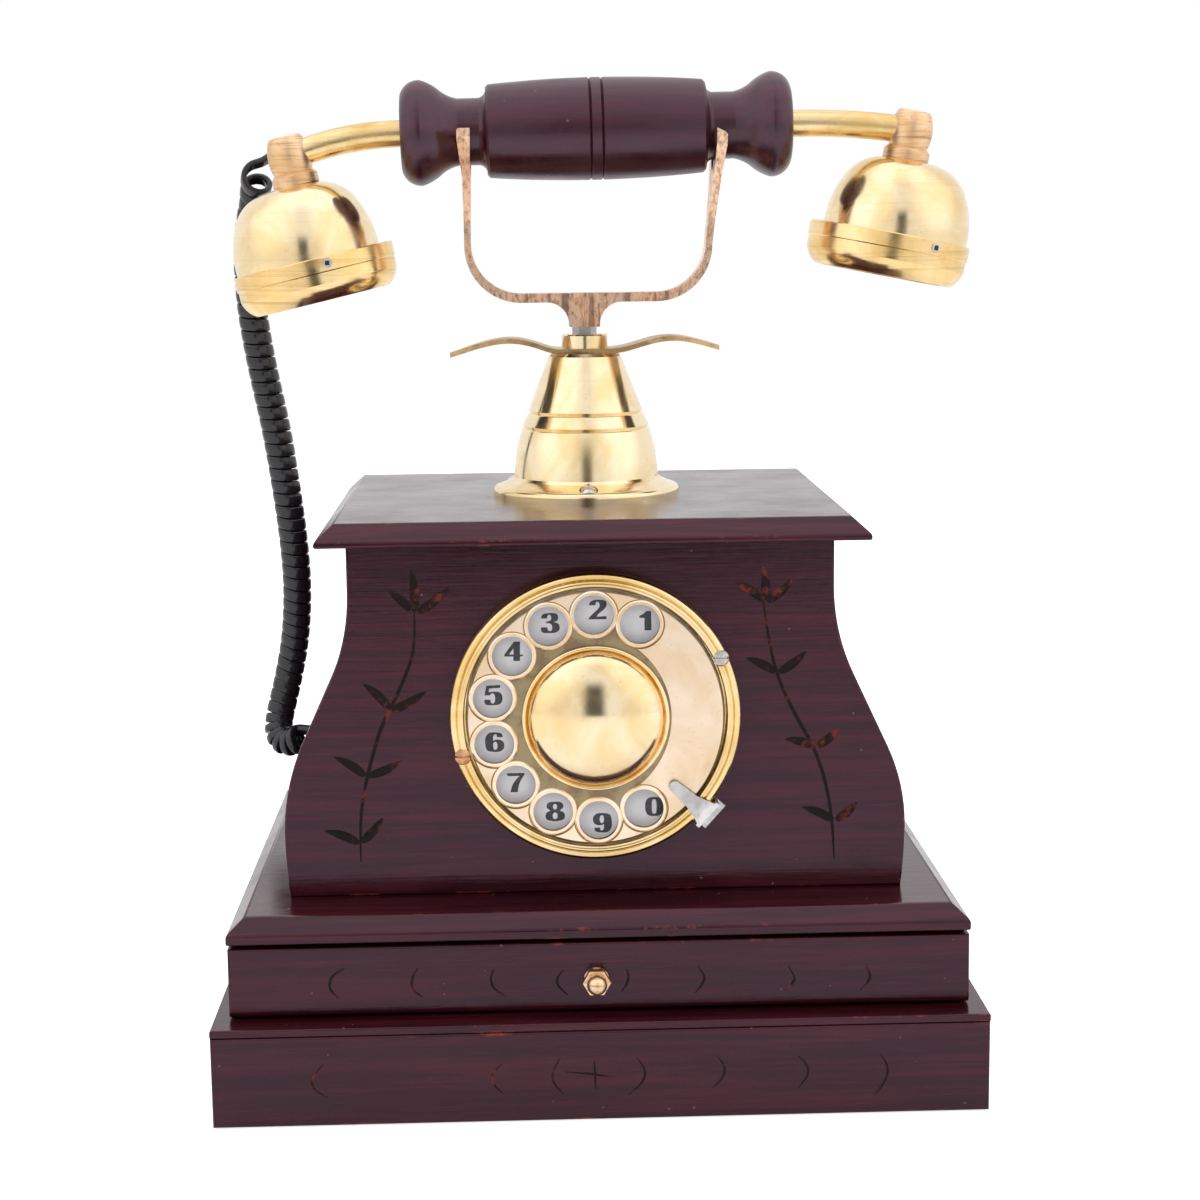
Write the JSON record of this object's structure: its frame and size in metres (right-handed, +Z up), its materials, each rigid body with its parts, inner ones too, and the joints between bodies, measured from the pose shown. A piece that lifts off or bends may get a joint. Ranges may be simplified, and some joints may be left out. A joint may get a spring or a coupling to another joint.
{
  "type": "desk telephone",
  "caption": "Desk telephone with a stepped varnished wood case, a rotary dial, a drawer in its base and a brass handset on a fork over a bell-shaped pedestal.",
  "frame": {"origin": "centre of the base's underside, on the surface that the telephone stands on", "axes": "+Z up, -Y out of the dial towards the user, +X to the right seen from the front"},
  "size_m": [0.2332, 0.19, 0.301],
  "materials": {
    "dark_wood": "dark red-brown gloss varnish over straight grain",
    "plain_wood": "bare sanded plywood and pine",
    "polished_brass": "polished, with a little wear",
    "cast_brass": "cast and brushed, pinkish, with pits",
    "bright_steel": "bright plated steel",
    "white_plate": "white enamel with bold black numbers",
    "black_plastic": "moulded, satin",
    "cord_jacket": "glossy black jacket",
    "coil_winding": "enamelled copper wire",
    "board_laminate": "green laminate"
  },
  "bodies": {
    "base": {"plinth_front_board": "dark_wood", "plinth_rear_board": "dark_wood", "plinth_side_boards": "dark_wood", "plinth_deck": "dark_wood", "base_cover": "plain_wood", "base_screws": "bright_steel", "carcass_side_rails": "dark_wood", "carcass_rear_rail": "dark_wood", "moulding_board": "dark_wood", "front_panel": "dark_wood", "rear_panel": "dark_wood", "left_side_panel": "dark_wood", "right_side_panel": "dark_wood", "case_cleats": "plain_wood", "top_board": "dark_wood", "pedestal_bell": "polished_brass", "pedestal_screws": "bright_steel", "wing_plate": "cast_brass", "wing_nut": "polished_brass", "plunger_spring": "bright_steel", "dial_bezel": "polished_brass", "bezel_screws": "bright_steel", "number_plate": "white_plate", "finger_stop": "bright_steel", "dial_frame": "bright_steel", "dial_mainspring": "bright_steel", "impulse_contacts": "black_plastic", "switch_bracket": "bright_steel", "switch_contacts": "black_plastic", "ringer_frame": "bright_steel", "ringer_coils": "coil_winding", "ringer_gongs": "bright_steel", "circuit_board": "board_laminate", "line_socket": "black_plastic", "cord_gland": "black_plastic", "curly_cord": "cord_jacket"},
    "drawer": {"drawer_front": "dark_wood", "drawer_sides": "dark_wood", "drawer_back": "dark_wood", "drawer_bottom": "plain_wood", "drawer_knob": "polished_brass", "knob_screw": "bright_steel"},
    "dial_wheel": {"finger_wheel": "polished_brass", "dial_dome": "polished_brass", "dial_shaft": "bright_steel", "main_gear": "polished_brass"},
    "governor": {"governor_pinion": "bright_steel", "governor_weights": "polished_brass"},
    "clapper": {"ringer_clapper": "bright_steel"},
    "cradle": {"cradle_fork": "cast_brass", "plunger_rod": "bright_steel", "lock_nut": "bright_steel"},
    "handset": {"handle": "dark_wood", "handset_tubes": "polished_brass", "handset_elbows": "cast_brass", "ear_bells": "polished_brass", "ear_caps": "polished_brass", "receiver_capsule": "black_plastic", "transmitter_capsule": "black_plastic", "grub_screws": "bright_steel"}
  },
  "joints": [
    {"name": "drawer_slide", "type": "slide", "parent": "base", "child": "drawer", "axis": [0, -1, 0], "range_m": [0, 0.12]},
    {"name": "finger_wheel_turn", "type": "hinge", "parent": "base", "child": "dial_wheel", "pos_m": [0, -0.0636, 0.1129], "axis": [0, 1, 0], "range_deg": [0, 327], "stiffness_Nm_per_rad": 0.004, "springref_deg": -34.38},
    {"name": "governor_spin", "type": "hinge", "parent": "base", "child": "governor", "pos_m": [0, -0.0636, 0.13462], "axis": [0, 1, 0], "range_deg": [-1640, 0]},
    {"name": "clapper_swing", "type": "hinge", "parent": "base", "child": "clapper", "pos_m": [0, 0.022, 0.0663], "axis": [0, 1, 0], "range_deg": [-4, 4], "stiffness_Nm_per_rad": 0.004},
    {"name": "cradle_plunge", "type": "slide", "parent": "base", "child": "cradle", "axis": [0, 0, 1], "range_m": [0, 0.003], "stiffness_N_per_m": 150, "springref_m": 0.012, "deforming": ["plunger_spring"]},
    {"name": "handset_lift", "type": "slide", "parent": "cradle", "child": "handset", "axis": [0, 0, 1], "range_m": [0, 0.09], "deforming": ["curly_cord"]}
  ],
  "couplings": [
    {"joint": "governor_spin", "follows": "finger_wheel_turn", "ratio": -5}
  ]
}
